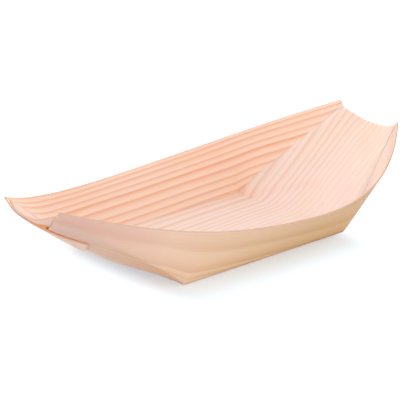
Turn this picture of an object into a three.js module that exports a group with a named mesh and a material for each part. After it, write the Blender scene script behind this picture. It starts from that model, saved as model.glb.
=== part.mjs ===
// Wooden boat dish: a serving boat folded from one thin sheet of softwood veneer.
// Two scored folds run along the flat bottom and two slits cut into each end. The tongue
// between the slits bends up as the end wall, and the two corner tabs beside it fold
// behind it and are glued there, one over the other.
// Millimetres, +Z up, +X towards the fore end, origin under the middle of the bottom.
// The dish looks the same after half a turn about Z, so one half is built and turned.

import * as THREE from 'three';

// Sizes of the folded dish
const LENGTH = 220; // from tip to tip
const BOTTOM_LENGTH = 104; // between the roots of the slits
const BOTTOM_WIDTH = 75.4; // between the scored folds
const RIM_WIDTH = 111.6; // across both rims at mid length
const RIM_HEIGHT = 22.5; // rim over the table at mid length
const TIP_SPAN = 39.8; // between the two tips of one end
const TIP_STAND = 3.8; // tips past the end wall's cut top edge, up the slope
const VENEER = 0.8; // thickness of the sheet

// Shape of the ends
const END_RAKE = THREE.MathUtils.degToRad(36.4); // slope of the corner creases
const TROUGH = 5.35; // hollow across each end between its creases
const TROUGH_RUN = 10.6; // the hollow grows over this distance up the slope
const CREASE_BOW = 1.7; // the inner tabs' creases bow into the dish by this much
const BOW_RUN = 12; // distance up the slope where they bow most
const CREASE_BULGE = 2.6; // the outer tabs' creases bulge out by this much
const BULGE_RUN = 18; // distance up the slope where they bulge most
const EDGE_INSET = 2.4; // an end wall's edge over the inner tab draws in this far at its top
const WALL_LEAD = 12; // the end walls start this far before the slits' roots

// Run of the rims
const RIM_FULLNESS = 2.5; // higher keeps the rim wide for longer
const RIM_RISE = 2.37; // higher keeps the rim low for longer
const RIM_BELLY = 3.8; // each rim swells out towards its outer tab
const RIM_DIP = 7.8; // and dips by this measure there
const TWIST = 1.6; // one tip of each end stands this much higher, the other lower

// Clearances and glue
const CLEARANCE = 0.3; // between neighbouring edges along folds, creases and bends
const GLUE_GAP = 0.4; // between two glued layers
const GLUE_FILM = 0.2; // thickness of a glue dab inside that gap
const GLUE_LENGTH = 16; // glue dab, across the end
const GLUE_WIDTH = 10; // glue dab, up the slope
const TIP_BLUNT = 1.5; // each wall's rim and creases stop this short of its tips
const TAB_ROOT = 0.12; // share of the tab left off at its pointed root
const STEP_RUN = 6; // a layer steps over another's edge within this
const STEP_MARGIN = 1; // and an end wall has stepped clear this far before that edge
const LEAVE_RUN = 8; // the outer tab has stepped out this far from its crease

// Mesh steps
const WALL_STEPS = 18; // along each of a wall's three stretches
const WALL_ROWS = 2; // from fold to rim
const LEAD_STEPS = 5; // along the tongue before the slits' roots
const END_STEPS = 18; // up an end wall from there
const END_ROWS = 16; // across an end wall
const TAB_STEPS = 20; // from a tab's root to its cut end
const TAB_ROWS = 14; // across a tab
const GLUE_STEPS = 8; // each way on a glue dab
const GRADING = 1.5; // steps grow by this power away from the sharp bends

// Colours of the pale pine, inside and outside, and of the dried glue
const PALE_PINE = 0xf7d6c4;
const BANDED_PINE = 0xf6c7ab;
const SHADED_PINE = 0xe6c4a8;
const DRIED_GLUE = 0xe9dcb4;

// Sizes that follow
const halfBottom = BOTTOM_LENGTH / 2;
const halfFold = BOTTOM_WIDTH / 2;
const halfRim = RIM_WIDTH / 2;
const halfTips = TIP_SPAN / 2;
const layer = VENEER + GLUE_GAP;
const edge = VENEER + CLEARANCE;
const rakeSin = Math.sin(END_RAKE);
const rakeCos = Math.cos(END_RAKE);
const tipSlope = (LENGTH / 2 - halfBottom) / rakeCos;
const tipHeight = tipSlope * rakeSin;
const topSlope = tipSlope - TIP_STAND;

// Half width of an end from its middle line to the crease
function halfWidth(slope) {
  return halfFold + ((halfTips - halfFold) * Math.max(slope, 0)) / tipSlope;
}

// Share of a bow that starts at zero, is greatest at its run and dies away beyond
function bowShare(up, run) {
  return (up / run) * Math.exp(1 - up / run);
}

// Point of the fore end, from the middle line across, up the slope from the slits' roots,
// and inward from the outer faces of the tabs where they leave their creases. A slope
// below zero lies on the bottom, short of the roots.
function endPoint(across, slope, inward) {
  const up = Math.max(slope, 0);
  const share = up / tipSlope;
  const sideShare = (across / halfWidth(slope)) ** 2;
  const hollow = TROUGH * (1 - Math.exp(-up / TROUGH_RUN));
  const bulge = CREASE_BULGE * bowShare(up, BULGE_RUN) * (1 - share ** 2);
  const bow = across > 0 ? CREASE_BOW * bowShare(up, BOW_RUN) : -bulge;
  const depth = inward + bow * sideShare - hollow * (1 - sideShare);
  const lift = TWIST * (across / halfTips) * share ** 2;
  const along = halfBottom + Math.min(slope, 0) + up * rakeCos;
  return new THREE.Vector3(along - rakeSin * depth, across, up * rakeSin + rakeCos * depth + lift);
}

// Starboard rim from the aft tip to the fore tip
class StarboardRim extends THREE.Curve {
  getPoint(t, target = new THREE.Vector3()) {
    const along = 2 * t - 1;
    const skew = along * (1 - along ** 2);
    const far = Math.abs(along);
    const out = halfRim - (halfRim - halfTips) * far ** RIM_FULLNESS + RIM_BELLY * skew;
    const up = RIM_HEIGHT + (tipHeight - RIM_HEIGHT) * far ** RIM_RISE - RIM_DIP * skew;
    return target.set((LENGTH / 2) * along, -out, up - TWIST * along ** 3);
  }
}

const rim = new StarboardRim();
const halfBlank = rim.getLength() / 2;

// Numbers from low to high, closer together near the low end when graded
function steps(low, high, count, power = 1) {
  return Array.from({ length: count + 1 }, (_, i) => low + (high - low) * (i / count) ** power);
}

function smooth(value) {
  return THREE.MathUtils.smoothstep(value, 0, 1);
}

// Unit normal of a face given by two shares, a and b, pointing into the dish
function inwardNormal(face, a, b) {
  const nudge = 1e-4;
  const alongA = face(Math.min(a + nudge, 1), b).sub(face(Math.max(a - nudge, 0), b));
  const alongB = face(a, Math.min(b + nudge, 1)).sub(face(a, Math.max(b - nudge, 0)));
  return alongA.cross(alongB).normalize();
}

// Closed solid of a thin sheet: its outer face, the same face a thickness further in,
// and the strip round the edge
function sheetGeometry(face, thickness, listA, listB) {
  const positions = [];
  for (const depth of [0, thickness]) {
    for (const a of listA) {
      for (const b of listB) {
        const point = face(a, b);
        point.addScaledVector(inwardNormal(face, a, b), depth);
        positions.push(point.x, point.y, point.z);
      }
    }
  }
  const countA = listA.length;
  const countB = listB.length;
  const inner = countA * countB;
  const at = (i, j) => i * countB + j;
  const index = [];
  for (let i = 0; i < countA - 1; i += 1) {
    for (let j = 0; j < countB - 1; j += 1) {
      const quad = [at(i, j), at(i + 1, j), at(i + 1, j + 1), at(i, j + 1)];
      index.push(quad[0], quad[2], quad[1], quad[0], quad[3], quad[2]);
      const [p, q, r, s] = quad.map((corner) => corner + inner);
      index.push(p, q, r, p, r, s);
    }
  }
  const loop = [];
  for (let i = 0; i < countA - 1; i += 1) loop.push(at(i, 0));
  for (let j = 0; j < countB - 1; j += 1) loop.push(at(countA - 1, j));
  for (let i = countA - 1; i > 0; i -= 1) loop.push(at(i, countB - 1));
  for (let j = countB - 1; j > 0; j -= 1) loop.push(at(0, j));
  loop.forEach((from, k) => {
    const to = loop[(k + 1) % loop.length];
    index.push(from, to, to + inner, from, to + inner, from + inner);
  });
  const geometry = new THREE.BufferGeometry();
  geometry.setAttribute('position', new THREE.Float32BufferAttribute(positions, 3));
  geometry.setIndex(index);
  geometry.computeVertexNormals();
  return geometry;
}

function veneer(color) {
  return new THREE.MeshStandardMaterial({ color, roughness: 0.65, metalness: 0 });
}

function glue() {
  return new THREE.MeshStandardMaterial({ color: DRIED_GLUE, roughness: 0.35, metalness: 0 });
}

function named(name, geometry, material) {
  const mesh = new THREE.Mesh(geometry, material);
  mesh.name = name;
  return mesh;
}

// Flat bottom between the folds and between the starts of the two end bends
function bottomPanel() {
  const length = BOTTOM_LENGTH - 2 * WALL_LEAD;
  const geometry = new THREE.BoxGeometry(length, BOTTOM_WIDTH - 2 * edge, VENEER);
  const mesh = named('bottom_panel', geometry, veneer(PALE_PINE));
  mesh.position.z = VENEER / 2;
  return mesh;
}

// Raked end wall: the tongue between the slits, hollow across, with a straight cut top.
// It leaves the bottom level with the tabs' outer faces and climbs over the two tabs.
function endWall(name) {
  const tab = tabCorners();
  const firstTip = tab.root.clone().lerp(tab.tip, TAB_ROOT);
  const firstEnd = tab.root.clone().lerp(tab.end, TAB_ROOT);
  const clear = (place, corner, end) =>
    smooth(1 + (STEP_MARGIN - beyondEdge(place, corner, end)) / STEP_RUN);
  const low = CLEARANCE - WALL_LEAD;
  const face = (a, b) => {
    const slope = THREE.MathUtils.lerp(low, topSlope, a);
    const side = halfWidth(slope) - edge;
    const inset = EDGE_INSET * (Math.max(slope, 0) / topSlope) ** 2;
    const across = THREE.MathUtils.lerp(-side, side - inset, b);
    const place = new THREE.Vector2(-Math.abs(across), slope);
    const climb = clear(place, tab.root, tab.end) * clear(place, firstTip, firstEnd);
    return endPoint(across, slope, layer * climb);
  };
  const root = -low / (topSlope - low);
  const listA = [...steps(0, root, LEAD_STEPS), ...steps(root, 1, END_STEPS, GRADING).slice(1)];
  const geometry = sheetGeometry(face, VENEER, listA, steps(0, 1, END_ROWS));
  return named(name, geometry, veneer(PALE_PINE));
}

// Corners of a tab as it lies behind the end wall: its root at the slit's start, the tip
// of the dish, and the end of its cut edge. One slit cut the tab and the end wall, so
// that edge is as long as the end wall's side.
function tabCorners() {
  const slant = Math.hypot(halfRim - halfFold, RIM_HEIGHT);
  const narrowing = halfFold - halfWidth(topSlope);
  const slit = Math.hypot(topSlope, narrowing);
  const spread = Math.atan2(narrowing, topSlope) + Math.atan2(slant, topSlope);
  const lean = Math.atan2(halfFold - halfTips, tipSlope) + spread;
  const root = new THREE.Vector2(halfFold - edge, 0);
  const tip = new THREE.Vector2(halfTips - edge, tipSlope);
  const end = new THREE.Vector2(root.x - slit * Math.sin(lean), slit * Math.cos(lean));
  return { root, tip, end };
}

// How far a place lies short of an edge of the tab whose root is at the negative side. The
// edge is given by its two ends on the tab at the positive side.
function beyondEdge(place, corner, end) {
  const along = new THREE.Vector2(corner.x - end.x, end.y - corner.y).normalize();
  return (place.x + end.x) * along.y - (place.y - end.y) * along.x;
}

// Triangular corner tab behind the end wall. The outer tab leaves its crease level, steps
// out over the inner one's slit edge and stays out from there to its cut end.
function cornerTab(name, side, stepOut) {
  const { root, tip, end } = tabCorners();
  const cutLength = tip.distanceTo(end);
  const face = (a, b) => {
    const turn = side < 0 ? b : 1 - b;
    const place = tip.clone().lerp(end, turn).sub(root).multiplyScalar(a).add(root);
    const leave = smooth((a * turn * cutLength) / LEAVE_RUN);
    const step = smooth(1 - beyondEdge(place, root, end) / STEP_RUN) * leave;
    return endPoint(side * place.x, place.y, -stepOut * step);
  };
  const listA = steps(TAB_ROOT, 1, TAB_STEPS, GRADING);
  const geometry = sheetGeometry(face, VENEER, listA, steps(0, 1, TAB_ROWS));
  return named(name, geometry, veneer(SHADED_PINE));
}

// Dried glue dab, an oval film between two layers, with its outer face this far inward
function glueDab(name, across, slope, inward) {
  const face = (a, b) => {
    const u = 2 * a - 1;
    const v = 2 * b - 1;
    const up = slope + (GLUE_WIDTH / 2) * u * Math.sqrt(1 - v ** 2 / 2);
    const side = across + (GLUE_LENGTH / 2) * v * Math.sqrt(1 - u ** 2 / 2);
    return endPoint(side, up, inward);
  };
  const list = steps(0, 1, GLUE_STEPS);
  return named(name, sheetGeometry(face, GLUE_FILM, list, list), glue());
}

// Lower edge of the starboard wall at a place along the rim, from -1 aft to 1 fore: the
// scored fold between the slits' roots, and the corner creases beyond them
function wallFoot(along) {
  const past = Math.abs(along) * halfBlank - halfBottom;
  if (past <= 0) return new THREE.Vector3(along * halfBlank, -halfFold, 0);
  const slope = (past / (halfBlank - halfBottom)) * (tipSlope - TIP_BLUNT);
  const point = endPoint(-Math.sign(along) * halfWidth(slope), slope, 0);
  return along > 0 ? point : point.set(-point.x, -point.y, point.z);
}

// Leaning side wall on the starboard side, from its fold and creases up to the rim, all
// stopping a little short of the tips
function sideWall(name) {
  const rimShare = 1 - TIP_BLUNT / halfBlank;
  const face = (a, b) => wallFoot(2 * b - 1).lerp(rim.getPointAt(0.5 + (b - 0.5) * rimShare), a);
  const corner = (1 + halfBottom / halfBlank) / 2;
  const foreStretch = steps(corner, 1, WALL_STEPS, GRADING);
  const aftStretch = foreStretch.map((b) => 1 - b).reverse();
  const listB = [
    ...aftStretch,
    ...steps(1 - corner, corner, WALL_STEPS).slice(1, -1),
    ...foreStretch,
  ];
  const geometry = sheetGeometry(face, VENEER, steps(0, 1, WALL_ROWS), listB);
  return named(name, geometry, veneer(BANDED_PINE));
}

// One end with its layers, and the wall on the side of its outer tab
function halfDish(end, wall) {
  const { root, tip, end: cutEnd } = tabCorners();
  const centroid = root.clone().add(tip).add(cutEnd).divideScalar(3);
  const wallDab = centroid.lerp(cutEnd, 0.5);
  const filmInset = (GLUE_GAP - GLUE_FILM) / 2;
  const half = new THREE.Group();
  half.add(
    endWall(`${end}_end_wall`),
    cornerTab(`${end}_inner_tab`, 1, 0),
    cornerTab(`${end}_outer_tab`, -1, layer),
    glueDab(`${end}_wall_glue`, wallDab.x, wallDab.y, VENEER + filmInset),
    glueDab(`${end}_tab_glue`, 0, cutEnd.y, filmInset - GLUE_GAP),
    sideWall(`${wall}_side_wall`),
  );
  return half;
}

const dish = new THREE.Group();
const foreHalf = halfDish('fore', 'starboard');
const aftHalf = halfDish('aft', 'port');
aftHalf.rotation.z = Math.PI;
dish.add(bottomPanel(), foreHalf, aftHalf);

export default dish;
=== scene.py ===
"""Serving boat folded from one sheet of pine veneer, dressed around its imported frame.

Metres, +Z up, +X towards the fore end, +Y towards the port side, origin under the middle
of the bottom. The dish looks the same after half a turn about Z.
"""

import math
from dataclasses import dataclass

import bpy
import numpy as np
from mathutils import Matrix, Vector


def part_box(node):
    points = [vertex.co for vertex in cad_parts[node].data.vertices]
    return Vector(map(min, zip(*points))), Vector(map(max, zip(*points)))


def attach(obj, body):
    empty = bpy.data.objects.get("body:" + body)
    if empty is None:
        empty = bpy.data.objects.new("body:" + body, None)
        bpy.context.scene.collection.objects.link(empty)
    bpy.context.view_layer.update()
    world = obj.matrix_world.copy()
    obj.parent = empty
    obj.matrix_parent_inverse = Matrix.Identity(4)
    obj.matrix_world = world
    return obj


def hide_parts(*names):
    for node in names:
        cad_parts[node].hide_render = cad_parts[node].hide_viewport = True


bl_info = {
    "name": "Veneer Boat Dish",
    "version": (1, 0, 0),
    "blender": (4, 5, 0),
    "location": "View3D > Sidebar > Boat Dish",
    "description": "Folds a pine veneer serving boat around its frame and sets it on a white stage",
    "category": "Add Mesh",
}

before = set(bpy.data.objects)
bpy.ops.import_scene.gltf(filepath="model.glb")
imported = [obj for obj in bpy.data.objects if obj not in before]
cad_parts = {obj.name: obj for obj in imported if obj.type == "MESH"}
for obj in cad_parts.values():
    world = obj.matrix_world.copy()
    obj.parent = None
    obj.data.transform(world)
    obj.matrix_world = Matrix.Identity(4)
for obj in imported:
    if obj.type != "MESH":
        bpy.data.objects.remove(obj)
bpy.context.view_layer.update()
FLAT_SHEET = "flat_sheet"
MM_PER_M = 1000


def linear(hex_colour):
    """Linear RGB of an sRGB hex colour."""
    shares = [int(hex_colour[i:i + 2], 16) / 255 for i in (0, 2, 4)]
    return tuple(c / 12.92 if c <= 0.04045 else ((c + 0.055) / 1.055) ** 2.4 for c in shares)


def metres(name, description, default):
    return bpy.props.FloatProperty(
        name=name, description=description, default=default, unit="LENGTH", precision=5)


def plain(name, description, default):
    return bpy.props.FloatProperty(name=name, description=description, default=default)


def degrees(name, description, default):
    return bpy.props.FloatProperty(
        name=name, description=description, default=math.radians(default), subtype="ANGLE")


def colour(name, description, hex_colour):
    return bpy.props.FloatVectorProperty(
        name=name, description=description, default=linear(hex_colour), subtype="COLOR")


BOTTOM_LOW, BOTTOM_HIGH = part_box("bottom_panel")


class DishSizes(bpy.types.PropertyGroup):
    """Sizes of the folded dish. Those that its solids have too are the same, but for the tips"""

    length: metres("Length", "From tip to tip", 0.220)
    bottom_length: metres("Bottom length", "Between the roots of the slits", 0.104)
    bottom_width: metres("Bottom width", "Between the scored folds", 0.0754)
    rim_width: metres("Rim width", "Across both rims at mid length", 0.1116)
    rim_height: metres("Rim height", "Rim over the table at mid length", 0.0225)
    tip_span: metres("Tip span", "Between the two tips of one end", 0.0398)
    tip_stand: metres("Tip stand", "Tips past the end wall's top edge, up the slope", 0.0038)
    veneer: metres("Veneer", "Thickness of the sheet", BOTTOM_HIGH.z - BOTTOM_LOW.z)
    end_rake: degrees("End rake", "Slope of the corner creases", 36.4)
    trough: metres("Trough", "Hollow across each end between its creases", 0.00535)
    trough_run: metres("Trough run", "The hollow grows over this distance up the slope", 0.0106)
    crease_bow: metres("Crease bow", "The inner tabs' creases bow into the dish by this", 0.0017)
    bow_run: metres("Bow run", "Distance up the slope where they bow most", 0.012)
    crease_bulge: metres("Crease bulge", "The outer tabs' creases bulge out by this", 0.0026)
    bulge_run: metres("Bulge run", "Distance up the slope where they bulge most", 0.018)
    edge_inset: metres("Edge inset", "An end wall's edge on the inner tab draws in by this", 0.0024)
    rim_fullness: plain("Rim fullness", "Higher keeps the rim wide for longer", 2.5)
    rim_rise: plain("Rim rise", "Higher keeps the rim low for longer", 2.37)
    rim_belly: metres("Rim belly", "Each rim swells out towards its outer tab", 0.0038)
    rim_dip: metres("Rim dip", "And dips by this measure there", 0.0078)
    twist: metres("Twist", "One tip of each end stands this much higher", 0.0016)
    step_run: metres("Step run", "A layer steps over another's edge within this", 0.006)
    leave_run: metres("Leave run", "The outer tab steps out this far from its crease", 0.008)
    step_margin: metres("Step margin", "An end wall has stepped clear this far before it", 0.001)
    glue_gap: metres("Glue gap", "Between two glued layers", 0.0004)
    glue_film: metres("Glue film", "Thickness of a glue dab at its middle", 0.0002)
    glue_length: metres("Glue length", "Glue dab, across the end", 0.016)
    glue_width: metres("Glue width", "Glue dab, up the slope", 0.010)
    fold_round: metres("Fold rounding", "Half width of the rounded scored fold", 0.0005)
    crease_round: metres("Crease rounding", "Half width of the rounded crease at its root", 0.0009)
    soft_round: metres("Soft rounding", "Half width of the rounded crease further up", 0.0020)
    root_spread: metres("Root spread", "Stretch of rim that bends round a slit's root", 0.030)
    root_gap: metres("Root gap", "From a rounded crease to the end wall, by the root", 0.0001)
    slit_gap: metres("Slit gap", "From a crease to that side where it lies over the tabs", 0.00042)
    press_width: metres("Press width", "The end walls' sides are pressed thin over this", 0.0028)
    press_left: metres("Press left", "Thickness left at those sides", 0.00006)
    press_down: metres("Press down", "And pressed back onto the walls by this", 0.00026)
    tip_blunt: metres("Tip blunt", "Rims and creases stop this short of the tips", 0.0006)
    cut_bevel: metres("Cut bevel", "Worn corner of a cut edge", 0.00012)


class VeneerColours(bpy.types.PropertyGroup):
    """Colours of the wood across the sheet, of its cut edges and of the glue"""

    middle_early: colour("Middle, earlywood", "Bottom and end walls", "f9e0d7")
    middle_late: colour("Middle, latewood", "Bottom and end walls", "ebbfab")
    port_early: colour("Port side, earlywood", "Port wall and its tabs", "fddecb")
    port_late: colour("Port side, latewood", "Port wall and its tabs", "eeae8a")
    # Partly painted shade: the starboard wall's inner face is drawn a little darker and greyer than
    # the middle, for the shade on its strip by the fore end wall
    lee_early: colour("Starboard inside, earlywood", "Inner face of the starboard wall", "efd6cb")
    lee_late: colour("Starboard inside, latewood", "Inner face of the starboard wall", "e2b9a5")
    # Outer-face tones, partly the wood's own and partly painted: tanner, darker and more saturated
    # than the inner face, for shade on faces turned down to the floor and light through the sheet
    tip_early: colour("Starboard tip, earlywood", "Outer face at the aft tip", "e2b8ab")
    tip_late: colour("Starboard tip, latewood", "Outer face at the aft tip", "d2a18b")
    aft_early: colour("Starboard aft, earlywood", "Outer face of the wall, aft", "efcfb9")
    aft_late: colour("Starboard aft, latewood", "Outer face of the wall, aft", "dfb496")
    mid_early: colour("Starboard, earlywood", "Outer face of the wall, amidships", "ddb993")
    mid_late: colour("Starboard, latewood", "Outer face of the wall, amidships", "ce9e73")
    fore_early: colour("Starboard fore, earlywood", "Outer face of the wall, fore", "d6b08a")
    fore_late: colour("Starboard fore, latewood", "Outer face of the wall, fore", "c8956a")
    blotch: colour("Blotches", "Yellower patches in the wood", "f3cf9f")
    cut_edge: colour("Cut edge", "Sheared fibres along the rims and ends", "e7c0a8")
    # Painted light: this glow is drawn as an emission on the outer tabs' inner faces
    glow: colour("Glow", "Light that has come through a tab", "f3ca96")
    glue: colour("Glue", "Dried clear glue", "e9dcb4")


class StageSettings(bpy.types.PropertyGroup):
    """Floor, light and camera"""

    floor_size: metres("Floor size", "Side of the square floor", 6.0)
    floor_white: colour("Floor", "White sweep", "eef1f4")
    floor_glow: colour("Floor glow", "Light from below the sweep", "ebf6fd")
    glow_level: plain("Glow level", "Brightness of that light", 1.45)
    glow_share: plain("Glow share", "How much of the sweep's look it makes up", 0.9)
    # Painted shadow shape: the sweep shows less of its glow in a box round the dish's foot
    near_share: plain("Near share", "The same, close to the dish's foot", 0.26)
    foot_middle: metres("Shadow middle", "How far to fore the shadow's middle lies", -0.0075)
    foot_length: metres("Shadow length", "Half of the deep shadow, lengthways", 0.0475)
    foot_width: metres("Shadow width", "Half of the deep shadow, across", 0.0377)
    end_pace: plain("End pace", "How much faster the shadow fades at the ends", 2.0)
    shadow_reach: metres("Shadow reach", "How far beyond that the shadow shows at the sides", 0.050)
    light_share: plain("Light share", "How much of the glow lights the dish", 0.13)
    wall_level: plain("Wall level", "Brightness of the white room's walls", 1.35)
    ceiling_level: plain("Ceiling level", "Brightness of its ceiling", 0.75)
    key_power: plain("Key power", "Overhead softbox, in watts", 2.7)
    key_size: metres("Key size", "Side of the overhead softbox", 0.9)
    key_place: bpy.props.FloatVectorProperty(
        name="Key place", description="Where the overhead softbox hangs",
        default=(-0.25, 0.75, 0.85), subtype="TRANSLATION", unit="LENGTH")
    camera_azimuth: degrees("Camera azimuth", "Round from straight in front", -42.07)
    camera_elevation: degrees("Camera elevation", "Over the horizon", 19.70)
    camera_distance: metres("Camera distance", "From the middle of the dish", 0.879)
    camera_height: metres("Camera aim", "Height of the point it looks at", 0.015)
    camera_lens: plain("Camera lens", "Focal length in millimetres", 162.4)
    shift_right: plain("Shift right", "Sideways shift of the picture", -0.0335)
    shift_up: plain("Shift up", "Upward shift of the picture", 0.0205)


@dataclass
class Sheet:
    """Grid of a thin sheet: outer points, inward normals, depth, and places on the flat blank"""

    points: np.ndarray
    normals: np.ndarray
    depth: np.ndarray
    flat: np.ndarray

    def turned(self):
        """The same sheet on the other side, after half a turn about Z."""
        return Sheet(half_turn(self.points), half_turn(self.normals), self.depth, -self.flat)


def smooth(value):
    """Eases from 0 to 1."""
    value = np.clip(value, 0, 1)
    return value * value * (3 - 2 * value)


def unit(vectors):
    """Vectors of the same directions, of length 1."""
    return vectors / np.linalg.norm(vectors, axis=-1, keepdims=True)


def bow_share(up, run):
    """Share of a bow that starts at zero, is greatest at its run and dies away beyond."""
    return up / run * np.exp(1 - up / run)


def dot(a, b):
    """Dot products, with a last axis to multiply vectors by."""
    return np.sum(a * b, axis=-1, keepdims=True)


def half_turn(vectors):
    """Vectors after half a turn about Z."""
    return vectors * np.array([-1, -1, 1])


def column(values):
    """Values with a last axis, to multiply vectors by."""
    return np.asarray(values)[..., None]


class Form:
    """Folded shape that follows from the sizes. Points are arrays whose last axis is x, y, z."""

    # Points along the rim for measuring its length
    rim_samples = 4001
    # Shares of a crease from its root: where the tabs start, from where the end wall lies over
    # them, where the rounding has left the fold's width, and where it is softest
    tab_root = 0.04
    free_root = 0.12
    root_share = 0.03
    soft_share = 0.5
    # Thickness of a tab by its root, as a share of the room under the end wall
    thin_root = 0.8
    # A rounding takes at most this share of the wall's height, and a bend's wood at most this
    # share of its radius
    round_limit = 0.45
    bend_limit = 0.92
    # Distance up the slope within which a slit opens
    slit_opening = 0.0015
    # Higher sets the columns at the ends closer together by the slit's root
    grading = 1.4

    def __init__(self, sizes):
        self.sizes = sizes
        self.half_bottom = sizes.bottom_length / 2
        self.half_fold = sizes.bottom_width / 2
        self.half_rim = sizes.rim_width / 2
        self.half_tips = sizes.tip_span / 2
        self.layer = sizes.veneer + sizes.glue_gap
        self.rake = np.array([math.cos(sizes.end_rake), math.sin(sizes.end_rake)])
        self.tip_slope = (sizes.length / 2 - self.half_bottom) / self.rake[0]
        self.tip_height = self.tip_slope * self.rake[1]
        self.top_slope = self.tip_slope - sizes.tip_stand
        self.slant = math.hypot(self.half_rim - self.half_fold, sizes.rim_height)
        self.rim_along = np.linspace(-1, 1, self.rim_samples)
        steps = np.linalg.norm(np.diff(self.rim(self.rim_along), axis=0), axis=-1)
        reach = np.concatenate([[0], np.cumsum(steps)])
        self.half_blank = reach[-1] / 2
        self.rim_reach = reach - self.half_blank
        self.place_tab()

    def place_tab(self):
        """Corners of a tab behind the end wall, across and up the slope, and on the blank."""
        narrowing = self.half_fold - self.half_width(self.top_slope)
        slit = math.hypot(self.top_slope, narrowing)
        lean = (math.atan2(self.half_fold - self.half_tips, self.tip_slope)
                + math.atan2(narrowing, self.top_slope) + math.atan2(self.slant, self.top_slope))
        self.root = np.array([self.half_fold, 0])
        self.tip = np.array([self.half_tips, self.tip_slope])
        self.cut_end = self.root + slit * np.array([-math.sin(lean), math.cos(lean)])
        self.cut_length = np.linalg.norm(self.cut_end - self.tip)
        self.flat_root = np.array([self.half_bottom, -self.half_fold])
        self.flat_tip = np.array([self.half_blank, -self.half_fold - self.slant])
        self.flat_end = np.array([self.half_bottom + self.top_slope, narrowing - self.half_fold])

    def half_width(self, slope):
        """From an end's middle line to its crease."""
        share = np.maximum(slope, 0) / self.tip_slope
        return self.half_fold + (self.half_tips - self.half_fold) * share

    def end_point(self, across, slope, inward):
        """Point of the fore end. Inward counts from the outer faces of the tabs."""
        sizes = self.sizes
        up = np.maximum(slope, 0)
        share = up / self.tip_slope
        side_share = (across / self.half_width(slope)) ** 2
        hollow = sizes.trough * (1 - np.exp(-up / sizes.trough_run))
        bulge = sizes.crease_bulge * bow_share(up, sizes.bulge_run) * (1 - share ** 2)
        bow = np.where(across > 0, sizes.crease_bow * bow_share(up, sizes.bow_run), -bulge)
        depth = inward + bow * side_share - hollow * (1 - side_share)
        lift = sizes.twist * (across / self.half_tips) * share ** 2
        x = self.half_bottom + np.minimum(slope, 0) + up * self.rake[0] - depth * self.rake[1]
        z = up * self.rake[1] + depth * self.rake[0] + lift
        return np.stack(np.broadcast_arrays(x, across, z), axis=-1)

    def rim(self, along):
        """Starboard rim from the aft tip, at -1, to the fore tip, at 1."""
        sizes = self.sizes
        skew = along * (1 - along ** 2)
        far = np.abs(along)
        narrowing = (self.half_rim - self.half_tips) * far ** sizes.rim_fullness
        out = self.half_rim - narrowing + sizes.rim_belly * skew
        rise = (self.tip_height - sizes.rim_height) * far ** sizes.rim_rise
        z = sizes.rim_height + rise - sizes.rim_dip * skew - sizes.twist * along ** 3
        return np.stack([sizes.length / 2 * along, -out, z], axis=-1)

    def crease_share(self, length):
        """Share of a crease, from its root to its tip, at a length along the blank."""
        past = np.maximum(np.abs(length) - self.half_bottom, 0)
        return past / (self.half_blank - self.half_bottom)

    def on_both_ends(self, length, fold, fore, aft):
        """Picks the fold between the slits' roots, and the fore or aft crease beyond them."""
        beyond = np.where(column(length > 0), fore, aft)
        return np.where(column(np.abs(length) <= self.half_bottom), fold, beyond)

    def wall_foot(self, length):
        """Lower edge of the starboard wall: the scored fold, and the creases beyond it."""
        fold = np.stack([length, np.full_like(length, -self.half_fold), 0 * length], axis=-1)
        slope = self.crease_share(length) * self.tip_slope
        fore = self.end_point(-self.half_width(slope), slope, 0)
        aft = half_turn(self.end_point(self.half_width(slope), slope, 0))
        return self.on_both_ends(length, fold, fore, aft)

    def tab_place(self, share, from_crease):
        """Place on a tab, across and up the slope, by share of its crease and distance from it."""
        along = self.root + column(share) * (self.tip - self.root)
        turned = column(smooth(share / self.root_share))
        square = np.array([-1, 0])
        away = unit(square + turned * (unit(self.cut_end - self.tip) - square))
        return along + column(from_crease) * away

    def tab(self, side, step_out, share, from_crease):
        """Point of a fore tab's outer face."""
        place = self.tab_place(share, from_crease)
        step = self.stepped_out(place, from_crease)
        return self.end_point(side * place[..., 0], place[..., 1], -step_out * step)

    def stepped_out(self, place, from_crease):
        """Share of its step that the outer tab has taken over the inner one's slit edge."""
        short = self.beyond_edge(place, self.root, self.cut_end)
        return (smooth(1 - short / self.sizes.step_run)
                * smooth(from_crease / self.sizes.leave_run))

    def beyond_edge(self, place, corner, end):
        """How far a place lies short of an edge of the tab whose root is at the negative side.
        The edge is given by its two ends on the tab at the positive side."""
        along = unit(np.array([corner[0] - end[0], end[1] - corner[1]]))
        past = place + end * np.array([1, -1])
        return past[..., 0] * along[1] - past[..., 1] * along[0]

    def sink(self, across, slope):
        """How far the fore end wall sinks back on the outer tab beyond the inner one's cut end."""
        place = np.stack([-across, slope], axis=-1)
        past_cut = -self.beyond_edge(place, self.tip, self.cut_end)
        from_crease = self.half_width(slope) + across
        sunk = 1 - smooth(1 - past_cut / self.sizes.step_run)
        return self.layer * sunk * self.stepped_out(place, from_crease)

    def lift(self, across, slope):
        """How far an end wall stands in from the tabs' outer faces: it climbs over both tabs,
        and is level with them at the slits' roots."""
        sizes = self.sizes
        place = np.stack([-np.abs(across), slope], axis=-1)
        first_tip = self.root + self.free_root * (self.tip - self.root)
        first_end = self.root + self.free_root * (self.cut_end - self.root)
        climb = 1
        for corner, end in ((self.root, self.cut_end), (first_tip, first_end)):
            short = self.beyond_edge(place, corner, end)
            climb = climb * smooth(1 + (sizes.step_margin - short) / sizes.step_run)
        return self.layer * climb

    def wall_top(self, length):
        """The starboard rim at a length along the blank."""
        shortened = length * (1 - self.sizes.tip_blunt / self.half_blank)
        return self.rim(np.interp(shortened, self.rim_reach, self.rim_along))

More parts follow.
